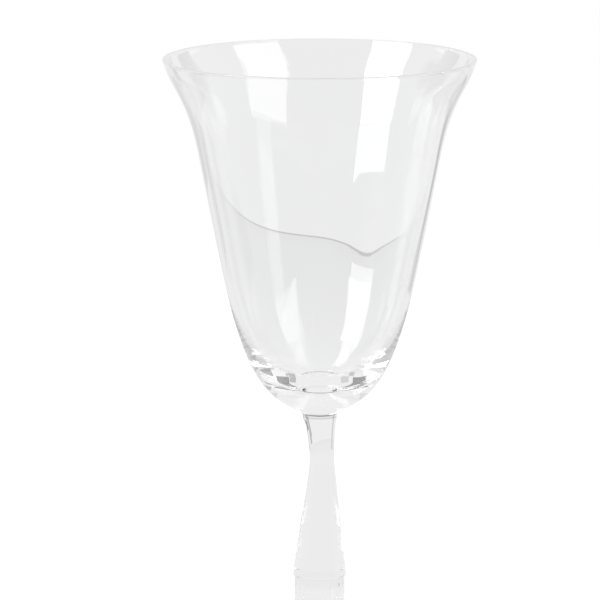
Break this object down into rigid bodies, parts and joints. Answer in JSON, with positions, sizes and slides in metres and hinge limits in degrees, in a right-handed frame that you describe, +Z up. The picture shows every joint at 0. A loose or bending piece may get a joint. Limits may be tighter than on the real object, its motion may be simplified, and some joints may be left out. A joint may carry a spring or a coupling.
{
  "type": "stemmed wine glass",
  "caption": "Clear stemmed red wine glass with a flared bell bowl, trumpet stem, reeded knop and round foot.",
  "frame": {"origin": "centre of the foot's underside, on the plane that the glass stands on", "axes": "+Z up along the glass's axis of revolution, +X and +Y level"},
  "size_m": [0.09, 0.09, 0.178],
  "materials": {
    "foot_glass": "clear polished plate, faint wear on the resting ring",
    "knop_glass": "clear, cut with upright reeds and polished",
    "stem_glass": "clear, fire-polished solid stem",
    "ring_glass": "clear, fire-polished hot joint",
    "bowl_glass": "clear, blown and fire-polished thin wall"
  },
  "bodies": {
    "root": {"foot": "foot_glass", "reeded_knop": "knop_glass", "stem": "stem_glass", "neck_ring": "ring_glass", "bowl": "bowl_glass"}
  },
  "joints": []
}
